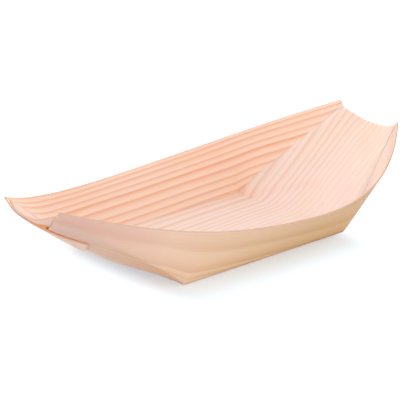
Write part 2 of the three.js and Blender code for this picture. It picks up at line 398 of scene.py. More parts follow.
    def foot_length(self, length):
        """Place of a wall's foot under a place on its rim: it lingers at the slits' roots,
        so that the wall bends round them like a cone and not along one line."""
        past = np.abs(length) - self.half_bottom
        lingering = past * (1 - np.exp(-(past / self.sizes.root_spread) ** 2))
        return np.sign(length) * (self.half_bottom + lingering)

    def round_width(self, share):
        """Half width of a crease's rounding: as the fold's at its root, and wider further up."""
        sizes = self.sizes
        softness = smooth(share / self.soft_share)
        wide = sizes.crease_round + (sizes.soft_round - sizes.crease_round) * softness
        return sizes.fold_round + (wide - sizes.fold_round) * smooth(share / self.root_share)

    def rounding(self, length):
        """Half width of the rounding under a place on the starboard rim."""
        foot = self.foot_length(length)
        height = np.linalg.norm(self.wall_top(length) - self.wall_foot(foot), axis=-1)
        return np.minimum(self.round_width(self.crease_share(foot)), self.round_limit * height)

    def beside_foot(self, length):
        """Edge of the neighbouring panel, where the rounding of the wall's foot starts."""
        half_round = self.rounding(length)
        length = self.foot_length(length)
        share = self.crease_share(length)
        fold = self.wall_foot(length) + np.array([0, self.sizes.fold_round, 0])
        fore = self.tab(-1, self.layer, share, half_round)
        aft = half_turn(self.tab(1, 0, share, half_round))
        return self.on_both_ends(length, fold, fore, aft)

    def end_lengths(self, count):
        """Lengths along the blank from a slit's root to the tip, closer near the root."""
        reach = self.half_blank - self.half_bottom - self.sizes.tip_blunt
        return self.half_bottom + reach * np.linspace(0, 1, count + 1) ** self.grading


def sheet_normals(points, inward):
    """Unit normals of a grid, on the side of the inward direction."""
    normals = unit(np.cross(np.gradient(points, axis=0, edge_order=2),
                            np.gradient(points, axis=1, edge_order=2)))
    return normals * np.sign(np.sum(normals * inward, axis=-1).mean())


def tongue_sheet(form):
    """Bottom and both end walls in one strip, with the rounded bends between them."""
    sizes = form.sizes
    lead_columns, end_columns, rows, edge_rows = 36, 60, 42, 5
    reach = form.half_bottom + form.top_slope
    fore = np.concatenate([np.linspace(0, form.half_bottom, lead_columns, endpoint=False),
                           np.linspace(form.half_bottom, reach, end_columns)])
    lengths = np.concatenate([-fore[:0:-1], fore])
    press_share = sizes.press_width / form.half_tips
    edges = np.linspace(1 - press_share, 1, edge_rows + 1)[1:]
    inner = np.linspace(press_share - 1, 1 - press_share, rows + 1)
    shares = np.concatenate([-edges[::-1], inner, edges])
    length, side = np.meshgrid(lengths, shares, indexing="ij")
    slope = np.abs(length) - form.half_bottom
    turn = np.where(length < 0, -1.0, 1.0)
    up = np.maximum(slope, 0)
    over_inner_tab = turn * side > 0
    inset = (form.round_width(up / form.tip_slope)
             + sizes.root_gap * smooth(slope / form.slit_opening))
    over_tabs = smooth((form.lift(form.half_width(slope), slope) - sizes.veneer) / sizes.glue_gap)
    inset = inset + (sizes.slit_gap - inset) * over_tabs
    inset = inset + over_inner_tab * sizes.edge_inset * (up / form.top_slope) ** 2
    across = (form.half_width(slope) - inset) * side
    from_side = form.half_width(slope) * (1 - np.abs(side))
    pressed = smooth(1 - from_side / sizes.press_width) * over_tabs
    lift = form.lift(across, slope) - form.sink(turn * across, slope) - sizes.press_down * pressed
    points = form.end_point(turn * across, slope, lift)
    points = np.where(column(length < 0), half_turn(points), points)
    depth = sizes.veneer + (sizes.press_left - sizes.veneer) * pressed
    return Sheet(points, sheet_normals(points, np.array([0, 0, 1])), depth,
                 np.stack([length, across], axis=-1))


def wall_sheet(form):
    """Starboard wall from the rounding of its fold and creases up to the rim."""
    sizes = form.sizes
    middle_columns, end_columns, arc_rows, rows = 72, 64, 6, 16
    fore = form.end_lengths(end_columns)
    middle = np.linspace(-form.half_bottom, form.half_bottom, middle_columns + 1)[1:-1]
    length = np.concatenate([-fore[::-1], middle, fore])
    foot_length = form.foot_length(length)
    foot = form.wall_foot(foot_length)
    top = form.wall_top(length)
    beside = form.beside_foot(length)
    half_round = np.linalg.norm(beside - foot, axis=-1, keepdims=True)
    back = unit(beside - foot)
    up = unit(top - foot)
    bend = np.arccos(np.clip(-dot(back, up), -1, 1))
    radius = half_round / np.tan(bend / 2)
    centreward = unit(up - dot(up, back) * back)

    points, tangents, depth, risen = [], [], [], []
    height = np.linalg.norm(top - foot, axis=-1)
    for share in np.linspace(0, 1, arc_rows + 1):
        angle = bend * share
        points.append(beside + radius * ((1 - np.cos(angle)) * centreward - np.sin(angle) * back))
        tangents.append(np.sin(angle) * centreward - np.cos(angle) * back)
        depth.append(np.minimum(sizes.veneer, form.bend_limit * radius[:, 0]))
        risen.append((2 * share - 1) * half_round[:, 0] / height)
    straight = foot + half_round * up
    for share in np.linspace(0, 1, rows + 1)[1:]:
        points.append(straight + (top - straight) * share)
        tangents.append(up)
        depth.append(np.full(len(length), sizes.veneer))
        risen.append((half_round[:, 0] + (height - half_round[:, 0]) * share) / height)
    points, tangents, risen = np.array(points), np.array(tangents), np.array(risen)
    normals = unit(np.cross(tangents, np.gradient(points, length, axis=1)))
    foot_place = form.half_fold + form.slant * form.crease_share(foot_length)
    flat_foot = np.stack([foot_length, -foot_place], axis=-1)
    flat_top = np.stack([length, np.full_like(length, -form.half_fold - form.slant)], axis=-1)
    flat = flat_foot + (flat_top - flat_foot) * column(risen)
    return Sheet(points, normals, np.array(depth), flat)


def tab_sheet(form, side, step_out):
    """Corner tab at the fore end, from the rounding of its crease to its two cut edges."""
    columns, rows = 64, 26
    lengths = form.end_lengths(columns)
    shares = form.crease_share(form.foot_length(lengths))
    first = form.rounding(-side * lengths)[shares >= form.tab_root]
    shares = shares[shares >= form.tab_root]
    share, step = np.meshgrid(shares, np.linspace(0, 1, rows + 1), indexing="ij")
    from_crease = column(first) + (share * form.cut_length - column(first)) * step
    points = form.tab(side, step_out, share, from_crease)
    inward = np.array([-form.rake[1], 0, form.rake[0]])
    flat = (form.flat_root + column(share) * (form.flat_tip - form.flat_root)
            + column(from_crease) * unit(form.flat_end - form.flat_tip))
    flat = flat * np.array([1, -side])
    place = form.tab_place(share, from_crease)
    depth = np.minimum(form.sizes.veneer, form.thin_root * form.lift(place[..., 0], place[..., 1]))
    return Sheet(points, sheet_normals(points, inward), depth, flat)


# Size, number and turn of the waves in a glue dab's outline, and its thickness at the edge as
# a share of the middle's
GLUE_WAVES = ((0.07, 3, 1), (0.04, 5, -2))
GLUE_EDGE = 0.15


def glue_sheet(form, across, slope, inward, start):
    """Oval film of glue at the fore end with a wavy outline, thin at its edge."""
    sizes = form.sizes
    steps = 25
    u, v = np.meshgrid(np.linspace(-1, 1, steps), np.linspace(-1, 1, steps), indexing="ij")
    east = u * np.sqrt(1 - v ** 2 / 2)
    north = v * np.sqrt(1 - u ** 2 / 2)
    share = np.minimum(np.hypot(east, north), 1)
    angle = np.arctan2(north, east)
    ripple = sum(size * np.sin(count * angle + turn * start) for size, count, turn in GLUE_WAVES)
    wave = 1 + ripple * share ** 2
    places = (across + sizes.glue_length / 2 * wave * east,
              slope + sizes.glue_width / 2 * wave * north)
    points = form.end_point(*places, inward)
    normals = sheet_normals(points, np.array([-form.rake[1], 0, form.rake[0]]))
    depth = sizes.glue_film * (GLUE_EDGE + (1 - GLUE_EDGE) * np.sqrt(1 - share ** 2))
    return Sheet(points, normals, depth, np.stack(places, axis=-1))


def edge_loop(rows, columns):
    """Grid places round the edge of a sheet."""
    return ([(0, j) for j in range(columns - 1)]
            + [(i, columns - 1) for i in range(rows - 1)]
            + [(rows - 1, j) for j in range(columns - 1, 0, -1)]
            + [(i, 0) for i in range(rows - 1, 0, -1)])


def inset_cuts(points, cuts, bevel):
    """Moves the grid's cut sides in from their edges: cuts names first or last, row or column."""
    moved = points.copy()
    for cut in cuts:
        end, line = cut.split("_")
        axis = 0 if line == "row" else 1
        edge, beside = (0, 1) if end == "first" else (-1, -2)
        inner = np.take(points, beside, axis=axis)
        outer = np.take(points, edge, axis=axis)
        step = bevel * unit(inner - outer)
        if axis == 0:
            moved[edge] += step
        else:
            moved[:, edge] += step
    return moved


# A worn corner takes at most this share of the sheet, and edges sharper than this stay crisp
BEVEL_LIMIT = 0.25
CRISP_ANGLE = math.radians(38)


def closed_shell(name, sheet, cuts, bevel, materials):
    """Mesh object of a thin sheet: two faces, and a strip round the edge with worn corners."""
    points, normals, depth, flat = sheet.points, sheet.normals, sheet.depth, sheet.flat
    grid_normals = np.cross(points[1:, :-1] - points[:-1, :-1], points[:-1, 1:] - points[:-1, :-1])
    if np.sum(grid_normals * normals[:-1, :-1]) < 0:
        points, normals, depth, flat = (a[:, ::-1] for a in (points, normals, depth, flat))
        swap = {"first_column": "last_column", "last_column": "first_column"}
        cuts = [swap.get(cut, cut) for cut in cuts]
    rows, columns = depth.shape
    outer = inset_cuts(points, cuts, bevel)
    inner = outer + normals * column(depth)
    loop = edge_loop(rows, columns)
    where = tuple(np.array(loop).T)
    edge_bevel = np.minimum(bevel, BEVEL_LIMIT * depth[where])
    low = points[where] + normals[where] * column(edge_bevel)
    high = points[where] + normals[where] * column(depth[where] - edge_bevel)
    vertices = np.concatenate([outer.reshape(-1, 3), inner.reshape(-1, 3), low, high])
    count = rows * columns

    faces = []
    for i in range(rows - 1):
        for j in range(columns - 1):
            corner = i * columns + j
            quad = [corner, corner + 1, corner + columns + 1, corner + columns]
            faces.append(quad)
            faces.append([count + each for each in reversed(quad)])
    face_count = len(faces)
    outer_loop = [i * columns + j for i, j in loop]
    inner_loop = [count + each for each in outer_loop]
    low_loop = [2 * count + k for k in range(len(loop))]
    high_loop = [2 * count + len(loop) + k for k in range(len(loop))]
    for one, two in ((outer_loop, low_loop), (low_loop, high_loop), (high_loop, inner_loop)):
        for k in range(len(loop)):
            n = (k + 1) % len(loop)
            faces.append([one[n], one[k], two[k], two[n]])

    mesh = bpy.data.meshes.new(name)
    mesh.from_pydata(vertices.tolist(), [], faces)
    faces_flat = [flat.reshape(-1, 2), flat.reshape(-1, 2), flat[where], flat[where]]
    face_depths = np.array([0, 1, 0, 1]) * depth.max()
    places = np.concatenate([
        np.insert(face, 2, below, axis=1) for face, below in zip(faces_flat, face_depths)])
    attribute = mesh.attributes.new(FLAT_SHEET, "FLOAT_VECTOR", "POINT")
    attribute.data.foreach_set("vector", places.astype(np.float32).ravel())
    for material in materials:
        mesh.materials.append(material)
    edge_slot = len(materials) - 1
    slots = [0] * face_count + [edge_slot] * (len(faces) - face_count)
    mesh.polygons.foreach_set("material_index", slots)
    mesh.shade_smooth()
    mesh.set_sharp_from_angle(angle=CRISP_ANGLE)
    mesh.validate()
    piece = bpy.data.objects.new(name, mesh)
    bpy.context.scene.collection.objects.link(piece)
    return piece


def add(tree, kind, settings=None, inputs=None):
    """Adds a node with its settings, values and links. A node given as an input is linked by
    its first output in use."""
    node = tree.nodes.new(f"ShaderNode{kind}")
    for name, value in (settings or {}).items():
        setattr(node, name, value)
    for key, value in (inputs or {}).items():
        if isinstance(value, bpy.types.Node):
            value = next(output for output in value.outputs if output.enabled)
        if isinstance(value, bpy.types.NodeSocket):
            tree.links.new(value, node.inputs[key])
        else:
            node.inputs[key].default_value = value
    return node


def fill_ramp(ramp, stops):
    """Sets a colour ramp's stops from (place, colour) pairs."""
    elements = ramp.elements
    while len(elements) > 1:
        elements.remove(elements[-1])
    for k, (place, rgb) in enumerate(stops):
        element = elements[0] if k == 0 else elements.new(place)
        element.position = place
        element.color = (*rgb, 1)


def greys(levels):
    """Stops of a grey ramp from a dict of levels by place."""
    return [(place, (level, level, level)) for place, level in levels.items()]


def new_material(name):
    material = bpy.data.materials.new(name)
    material.use_nodes = True
    tree = material.node_tree
    tree.nodes.clear()
    return material, tree


# Node settings that come up often
EASED = {"interpolation_type": "SMOOTHSTEP"}
RGB = {"data_type": "RGBA"}

# Half width of the flat blank and place of its scored folds, in millimetres
BLANK_HALF = 66.6
FOLD_PLACE = 37.7

# Ring numbers by place across the blank, in millimetres from its middle line: wide rings on
# the starboard wall, and narrower, uneven ones over the bottom and the port wall
RING_PLACES = {
    -68: 1, -51.5: 2, -40.3: 3, -24: 7, -10.3: 10, -0.6: 13, 9.4: 16, 22: 19, 39.4: 22,
    47.3: 24, 56.3: 26, 62.5: 28, 68: 30,
}
# Millimetres and rings that the curve through these places has room for
RING_SPAN = 150
RING_COUNT = 40
# Share of a ring by which its edge wanders, and how often that changes in a ring
UNEVEN = 0.3
UNEVEN_PACE = 0.8
# Darkness through one ring, and strength of the faintest one
RING_PROFILE = {0.0: 0.7, 0.12: 0.08, 0.3: 0.0, 0.62: 0.3, 0.88: 0.9, 0.95: 1.0, 1.0: 0.75}
FAINTEST_RING = 0.62
# How clear the rings are, by share of the way from the starboard to the port edge, and how
# much of that is left on the end walls
RING_CONTRAST = {0.0: 0.85, 0.2: 0.85, 0.27: 0.4, 0.42: 0.45, 0.56: 0.85, 0.77: 0.95, 0.83: 1.0}
END_WALL_CONTRAST = 0.74
# Slope of the grain to the blank's length, and the run over which it straightens
PORT_SLOPE = 0.012
STARBOARD_SLOPE = 0.095
STRAIGHT_RUN = 60
# Length, width and detail of the wood's streaks in millimetres: the slow waver of the rings,
# which has a depth too, the fibres, and blotches of yellower wood
WAVER = (75, 24, 1)
WAVER_DEPTH = 1.6
FIBRE = (14, 0.35, 3)
BLOTCH = (42, 11, 2)

# Stretches over which the wood changes, in millimetres: across the blank, with port as plus
ACROSS_BLANK = {"From Min": -BLANK_HALF, "From Max": BLANK_HALF}
TO_STARBOARD = {"From Min": 62, "From Max": 8}
TO_PORT = {"From Min": 26, "From Max": 44}
TO_PORT_WALL = {"From Min": 30, "From Max": 40}
TO_TAN = {"From Min": -14, "From Max": -38}
TO_LEE = {"From Min": -34, "From Max": -46}
TO_FOLD_GLOW = {"From Min": -BLANK_HALF, "From Max": -38}
FOLD_SHADE_WIDTH = 3.0
BY_FOLD_SHADE = {"From Min": -FOLD_PLACE - FOLD_SHADE_WIDTH, "From Max": -FOLD_PLACE}
# Along it, with fore as plus, or from its middle to both ends
ALONG_BLANK = {"From Min": -RING_SPAN, "From Max": RING_SPAN}
TO_AMIDSHIPS = {"From Min": -90, "From Max": -30}
TO_FOOT = {"From Min": -100, "From Max": -62}
TO_END_WALL = {"From Min": 45, "From Max": 62}
TO_ENDS = {"From Min": 76, "From Max": 122}
# Into the sheet, from its outer to its inner face
TO_INSIDE = {"From Min": 0.2, "From Max": 0.6}
TO_INNER_FACE = {"From Min": 0.5, "From Max": 0.7}

# Places along the blank, in millimetres, of the starboard outer face's tones from aft to fore,
# partly the wood's own and partly painted shade and glow
TONE_PLACES = (-108, -68, 25, 54)
# Share of the port wood's orange at the ends, and of the tan, partly painted shade and glow, on the
# rest of the outer face
END_ORANGE = 0.62
OUTER_TAN = 0.4
# Painted light: the starboard wall's outer face is drawn lighter and yellower from the rim down to
# the fold, for light shining through the sheet and up from the floor
FOLD_GLOW_TONE = (1.10, 1.12, 1.0)
# Painted shade: darker and browner along the fold's underside by the floor, and towards the foot of
# the inner tab, whose wood is also a little browner itself
FOLD_SHADE_TONE = (0.90, 0.86, 0.84)
FOOT_SHADE_TONE = (1.06, 0.80, 0.66)
# Parts of the blank whose wood has its own colours, the last four at the places above
WOOD_PARTS = ("middle", "port", "lee", "tip", "aft", "mid", "fore")
# Strength of the blotches, and shade and roughness of the fibres, from their streaks
BLOTCHED = {"From Min": 0.35, "From Max": 0.7, "To Max": 0.16}
FIBRE_SHADE = {"From Min": 0.25, "From Max": 0.75, "To Min": 0.955, "To Max": 1.03}
FIBRE_ROUGHNESS = {"To Min": 0.62, "To Max": 0.78}
# Height of the fibres in metres, and of the latewood as a share of it
FIBRE_RELIEF = 0.00006
LATE_RELIEF = 0.5
# How far red, green and blue light get inside the wood, as shares of the reach
LIGHT_REACH = (1.0, 0.42, 0.2)


@dataclass
class Shine:
    """Light that goes into the sheet: its share and how far it gets in metres; the strength of a
    painted glow, an emission on the inner face that stands in for light come through the sheet; and
    whether the sheet gets painted shade at its foot"""

    share: float
    reach: float
    glow: float
    shaded_foot: bool


SHINE = {
    "peeled_pine_veneer": Shine(0.25, 0.0012, 0.0, False),
    "peeled_pine_inner_tab": Shine(0.6, 0.0022, 0.0, True),
    "peeled_pine_outer_tab": Shine(0.6, 0.0022, 0.36, False),
}


@dataclass
class Grain:
    """The wood's pattern: sockets of the places on the flat sheet in millimetres, and nodes"""

    along: bpy.types.NodeSocket
    across: bpy.types.NodeSocket
    depth: bpy.types.NodeSocket
    from_middle: bpy.types.Node
    late: bpy.types.Node
    fibre: bpy.types.Node
    blotch: bpy.types.Node


def flat_blank(tree):
    """Place on the flat blank in millimetres: along it, across it and into the sheet."""
    flat = add(tree, "Attribute", {"attribute_name": FLAT_SHEET}).outputs["Vector"]
    return add(tree, "VectorMath", {"operation": "SCALE"}, {0: flat, "Scale": MM_PER_M})


def streaks(tree, blank, length, width, detail):
    """Uneven streaks along the grain, of a length and a width in millimetres."""
    places = add(tree, "VectorMath", {"operation": "MULTIPLY"},
                 {0: blank, 1: (1 / length, 1 / width, 0)})
    return add(tree, "TexNoise", None, {"Vector": places, "Scale": 1, "Detail": detail})


def pine_grain(tree):
    """Growth rings and fibres of a peeled pine sheet, in millimetres of the flat blank.

    The rings lie three to six millimetres apart over the bottom and the port wall, and more
    than a centimetre apart on the starboard wall, where the knife ran along them.
    """
    blank = flat_blank(tree)
    along, across, depth = add(tree, "SeparateXYZ", None, {0: blank}).outputs
    from_middle = add(tree, "Math", {"operation": "ABSOLUTE"}, {0: along})

    # Grain runs off the blank's length, more on the starboard side, and straightens at the ends
    run = add(tree, "Math", {"operation": "DIVIDE"}, {0: along, 1: STRAIGHT_RUN})
    straightened = add(tree, "Math", {"operation": "TANH"}, {0: run})
    slope = add(tree, "MapRange", EASED, {
        "Value": across, **TO_STARBOARD,
        "To Min": PORT_SLOPE * STRAIGHT_RUN, "To Max": STARBOARD_SLOPE * STRAIGHT_RUN})
    drift = add(tree, "Math", {"operation": "MULTIPLY"}, {0: straightened, 1: slope})
    level = add(tree, "Math", {"operation": "SUBTRACT"}, {0: across, 1: drift})
    waved = add(tree, "Math", {"operation": "MULTIPLY_ADD"},
                {0: streaks(tree, blank, *WAVER), 1: WAVER_DEPTH, 2: level})

    # Ring number from the place across, with wide rings on the starboard side
    place = add(tree, "Math", {"operation": "MULTIPLY_ADD"}, {0: waved, 1: 1 / RING_SPAN, 2: 0.5})
    growth = add(tree, "FloatCurve", None, {"Value": place})
    curve = growth.mapping.curves[0]
    for across_mm, rings in RING_PLACES.items():
        curve.points.new(0.5 + across_mm / RING_SPAN, rings / RING_COUNT)
    for point in curve.points:
        point.handle_type = "VECTOR"
    growth.mapping.update()
    counted = add(tree, "Math", {"operation": "MULTIPLY_ADD"},
                  {0: growth, 1: RING_COUNT, 2: -UNEVEN / 2})
    uneven = add(tree, "TexNoise", {"noise_dimensions": "1D"},
                 {"W": counted, "Scale": UNEVEN_PACE, "Detail": 0})
    ring = add(tree, "Math", {"operation": "MULTIPLY_ADD"}, {0: uneven, 1: UNEVEN, 2: counted})
    number = add(tree, "Math", {"operation": "FLOOR"}, {0: ring})
    phase = add(tree, "Math", {"operation": "FRACT"}, {0: ring})

    # Each ring darkens slowly to its latewood and breaks off sharply
    profile = add(tree, "ValToRGB", None, {0: phase})
    fill_ramp(profile.color_ramp, greys(RING_PROFILE))
    chance = add(tree, "TexWhiteNoise", {"noise_dimensions": "1D"}, {"W": number})
    strength = add(tree, "MapRange", None, {"Value": chance, "To Min": FAINTEST_RING})

    # Rings stand out on the port wall, and fade over the starboard half of the bottom and up
    # the end walls
    across_share = add(tree, "MapRange", None, {"Value": across, **ACROSS_BLANK})
    contrast = add(tree, "ValToRGB", None, {0: across_share})
    fill_ramp(contrast.color_ramp, greys(RING_CONTRAST))
    shown = add(tree, "Math", {"operation": "MULTIPLY"}, {0: strength, 1: contrast})
    off_wall = add(tree, "MapRange", None,
                   {"Value": across, **TO_PORT_WALL, "To Min": END_WALL_CONTRAST})
    up_end = add(tree, "MapRange", None,
                 {"Value": from_middle, **TO_END_WALL, "To Min": 1, "To Max": off_wall})
    faded = add(tree, "Math", {"operation": "MULTIPLY"}, {0: shown, 1: up_end})
    late = add(tree, "Math", {"operation": "MULTIPLY"}, {0: profile, 1: faded})
    return Grain(along, across, depth, from_middle, late,
                 streaks(tree, blank, *FIBRE), streaks(tree, blank, *BLOTCH))


def pine_veneer(colours, name, shine):
    """Peeled pine veneer, left bare.

    A long knife peels it off the log, so it is matt, with soft pale earlywood, darker
    latewood lines, fine fibres along them and hardly any gloss. Some light shines through
    the thin sheet and leaves it orange.
    """
    material, tree = new_material(name)
    grain = pine_grain(tree)
    # Orange towards the port rim and the ends, and on the outer face to starboard the tan tones,
    # partly the wood's own and partly painted shade and painted glow
    port = add(tree, "MapRange", EASED, {"Value": grain.across, **TO_PORT})
    ends = add(tree, "MapRange", None,
               {"Value": grain.from_middle, **TO_ENDS, "To Max": END_ORANGE})
    orange = add(tree, "Math", {"operation": "MAXIMUM"}, {0: port, 1: ends})
    outer = add(tree, "MapRange", None,
                {"Value": grain.depth, **TO_INSIDE, "To Min": 1, "To Max": 0})
    half_toned = add(tree, "Math", {"operation": "MULTIPLY"}, {0: outer, 1: OUTER_TAN})
    tan = add(tree, "MapRange", EASED,
              {"Value": grain.across, **TO_TAN, "To Min": half_toned, "To Max": outer})
    # Painted shade on the starboard wall's inner face
    lee = add(tree, "MapRange", EASED, {"Value": grain.across, **TO_LEE})
    to_fore = add(tree, "MapRange", None, {"Value": grain.along, **ALONG_BLANK})
    amidships = add(tree, "MapRange", EASED, {"Value": grain.along, **TO_AMIDSHIPS})
    # Painted light: the outer face lightens and yellows towards the fold, amidships and fore
    fold_glow_share = add(tree, "MapRange", None,
                  {"Value": grain.across, **TO_FOLD_GLOW, "To Max": amidships})
    painted_fold_glow = add(tree, "Mix", RGB, {"Factor": fold_glow_share, "A": (1, 1, 1, 1), "B": (*FOLD_GLOW_TONE, 1)})
    # Painted shade: darker along the fold's underside, or over the inner tab's whole foot, which is
    # partly its own browner tone
    if shine.shaded_foot:
        shade_tone = FOOT_SHADE_TONE
        shade_share = add(tree, "MapRange", EASED, {"Value": grain.along, **TO_FOOT})
    else:
        shade_tone = FOLD_SHADE_TONE
        shade_share = add(tree, "MapRange", EASED, {"Value": grain.across, **BY_FOLD_SHADE})
    # Mixes the painted fold glow with the painted shade
    pressed = add(tree, "Mix", RGB, {"Factor": shade_share, "A": painted_fold_glow, "B": (*shade_tone, 1)})
    # Earlywood and latewood each have their tones over the blank, and the rings mix them
    woods = []
    for wood in ("early", "late"):
        middle, port_tone, lee_tone, *starboard_tones = (
            getattr(colours, f"{part}_{wood}") for part in WOOD_PARTS)
        to_port = add(tree, "Mix", RGB,
                      {"Factor": orange, "A": (*middle, 1), "B": (*port_tone, 1)})
        inside = add(tree, "Mix", RGB, {"Factor": lee, "A": to_port, "B": (*lee_tone, 1)})
        outside = add(tree, "ValToRGB", None, {0: to_fore})
        fill_ramp(outside.color_ramp, [
            (0.5 + mm / (2 * RING_SPAN), tone) for mm, tone in zip(TONE_PLACES, starboard_tones)])
        warmed = add(tree, "VectorMath", {"operation": "MULTIPLY"}, {0: outside, 1: pressed})
        woods.append(add(tree, "Mix", RGB, {"Factor": tan, "A": inside, "B": warmed}))
    rings = add(tree, "Mix", RGB, {"Factor": grain.late, "A": woods[0], "B": woods[1]})
    yellow = add(tree, "MapRange", None, {"Value": grain.blotch, **BLOTCHED})
    blotched = add(tree, "Mix", RGB, {"Factor": yellow, "A": rings, "B": (*colours.blotch, 1)})
    shade = add(tree, "MapRange", None, {"Value": grain.fibre, **FIBRE_SHADE})
    fibred = add(tree, "VectorMath", {"operation": "SCALE"}, {0: blotched, "Scale": shade})
    # Latewood and fibres stand a few hundredths of a millimetre proud
    roughness = add(tree, "MapRange", None, {"Value": grain.fibre, **FIBRE_ROUGHNESS})
    relief = add(tree, "Math", {"operation": "MULTIPLY_ADD"},
                 {0: grain.late, 1: LATE_RELIEF, 2: grain.fibre})
    bump = add(tree, "Bump", None,
               {"Strength": 0.35, "Distance": FIBRE_RELIEF, "Height": relief})
    # Painted light: an emission on the outer tab's inner face stands in for the light that comes
    # through the tab
    glow = {"Emission Color": (*colours.glow, 1)}
    if shine.glow:
        glow["Emission Strength"] = add(tree, "MapRange", None, {
            "Value": grain.depth, **TO_INNER_FACE, "To Max": shine.glow})
    shader = add(tree, "BsdfPrincipled", None, {
        "Base Color": fibred, "Roughness": roughness, "Normal": bump,
        "IOR": 1.45, "Specular IOR Level": 0.25, "Subsurface Weight": shine.share,
        "Subsurface Radius": LIGHT_REACH, "Subsurface Scale": shine.reach, **glow})
    add(tree, "OutputMaterial", None, {"Surface": shader})
    return material


def cut_veneer(colours):
    """Pine veneer sheared across or along its fibres.

    The cut is duller than the faces and a little furry, with the fibres' ends as dark specks.
    """
    material, tree = new_material("sheared_pine_edge")
    speck_shade = 0.86
    specks = tuple(speck_shade * c for c in colours.cut_edge)
    tone = add(tree, "Mix", RGB, {
        "Factor": streaks(tree, flat_blank(tree), *FIBRE),
        "A": (*colours.cut_edge, 1), "B": (*specks, 1)})
    shader = add(tree, "BsdfPrincipled", None,
                 {"Base Color": tone, "Roughness": 0.85, "Specular IOR Level": 0.15})
    add(tree, "OutputMaterial", None, {"Surface": shader})
    return material


def dried_glue(colours):
    """Clear wood glue, squeezed flat and dried: yellowish, smooth, with faint bubbles."""
    material, tree = new_material("dried_wood_glue")
    bubble_mm = 1.2
    bubble_shade = 0.8
    flat = add(tree, "Attribute", {"attribute_name": FLAT_SHEET}).outputs["Vector"]
    bubbles = add(tree, "TexVoronoi", None, {"Vector": flat, "Scale": MM_PER_M / bubble_mm})
    darker = tuple(bubble_shade * c for c in colours.glue)
    tone = add(tree, "Mix", RGB, {
        "Factor": bubbles.outputs["Distance"], "A": (*darker, 1), "B": (*colours.glue, 1)})
    shader = add(tree, "BsdfPrincipled", None, {"Base Color": tone, "Roughness": 0.3, "IOR": 1.47})
    add(tree, "OutputMaterial", None, {"Surface": shader})
    return material


def seen_rays(tree):
    """One for rays that show the backdrop to the eye: straight, mirrored or through glass."""
    rays = add(tree, "LightPath").outputs
    mirrored = add(tree, "Math", None, {0: rays["Is Camera Ray"], 1: rays["Is Glossy Ray"]})
    return add(tree, "Math", {"use_clamp": True}, {0: mirrored, 1: rays["Is Transmission Ray"]})


def white_sweep(stage):
    """White background paper, matt and lit from below.

    It meets the white room without a line, throws light under the dish, and shows less of
    its own glow close to the dish's foot, which paints the soft shadow deeper there.
    """
    material, tree = new_material("backlit_white_paper")
    paper = add(tree, "BsdfDiffuse", None, {"Color": (*stage.floor_white, 1)})
    glow = add(tree, "Emission", None,
               {"Color": (*stage.floor_glow, 1), "Strength": stage.glow_level})
    # Painted shadow shape: distance from the foot, which counts for more off its ends than off its
    # sides;
    # the sweep's glow is dimmed within it, so the shadow shows deep by the foot and washes out
    # beyond
    place = add(tree, "NewGeometry").outputs["Position"]
    from_foot = add(tree, "VectorMath", {"operation": "SUBTRACT"},
                    {0: place, 1: (stage.foot_middle, 0, 0)})
    sides = add(tree, "VectorMath", {"operation": "ABSOLUTE"}, {0: from_foot})
    beyond = add(tree, "VectorMath", {"operation": "SUBTRACT"},
                 {0: sides, 1: (stage.foot_length, stage.foot_width, 0)})
    outside = add(tree, "VectorMath", {"operation": "MAXIMUM"}, {0: beyond, 1: (0, 0, 0)})
    paced = add(tree, "VectorMath", {"operation": "MULTIPLY"},
                {0: outside, 1: (stage.end_pace, 1, 0)})
    away = add(tree, "VectorMath", {"operation": "LENGTH"}, {0: paced})
    glowing = add(tree, "MapRange", EASED, {
        "Value": away, "From Max": stage.shadow_reach,
        "To Min": stage.near_share, "To Max": stage.glow_share})
    share = add(tree, "MapRange", None,
                {"Value": seen_rays(tree), "To Min": stage.light_share, "To Max": glowing})
    mixed = add(tree, "MixShader", None, {0: share, 1: paper, 2: glow})
    add(tree, "OutputMaterial", None, {"Surface": mixed})
    return material


def wood_materials(colours, name="peeled_pine_veneer"):
    """The veneer's face and cut edge, made once and shared by its pieces."""
    face = bpy.data.materials.get(name) or pine_veneer(colours, name, SHINE[name])
    edge = bpy.data.materials.get("sheared_pine_edge") or cut_veneer(colours)
    return [face, edge]


def place_piece(piece, slot, *nodes):
    """Sets a piece on the dish's one body, in the place of its solids."""
    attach(piece, "root")
    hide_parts(*nodes)


class DISH_OT_fold_tongue(bpy.types.Operator):
    """Make the bottom and the two end walls, one strip of veneer bent up at both ends"""

    bl_idname = "dish.fold_tongue"
    bl_label = "Bottom and End Walls"

    def execute(self, context):
        sizes = context.scene.dish_sizes
        sheet = tongue_sheet(Form(sizes))
        cuts = ["first_row", "last_row"]
        piece = closed_shell("bottom_and_end_walls", sheet, cuts, sizes.cut_bevel,
                             wood_materials(context.scene.dish_colours))
        place_piece(piece, "inner_veneer", "bottom_panel", "fore_end_wall", "aft_end_wall")
        return {"FINISHED"}


class DISH_OT_fold_side_walls(bpy.types.Operator):
    """Make the two leaning side walls with their rounded folds and creases"""

    bl_idname = "dish.fold_side_walls"
    bl_label = "Side Walls"

    def execute(self, context):
        sizes = context.scene.dish_sizes
        sheet = wall_sheet(Form(sizes))
        materials = wood_materials(context.scene.dish_colours)
        cuts = ["last_row"]
        for name, side in (("starboard", sheet), ("port", sheet.turned())):
            piece = closed_shell(f"{name}_wall", side, cuts, sizes.cut_bevel, materials)
            place_piece(piece, "side_veneer", f"{name}_side_wall")
        return {"FINISHED"}


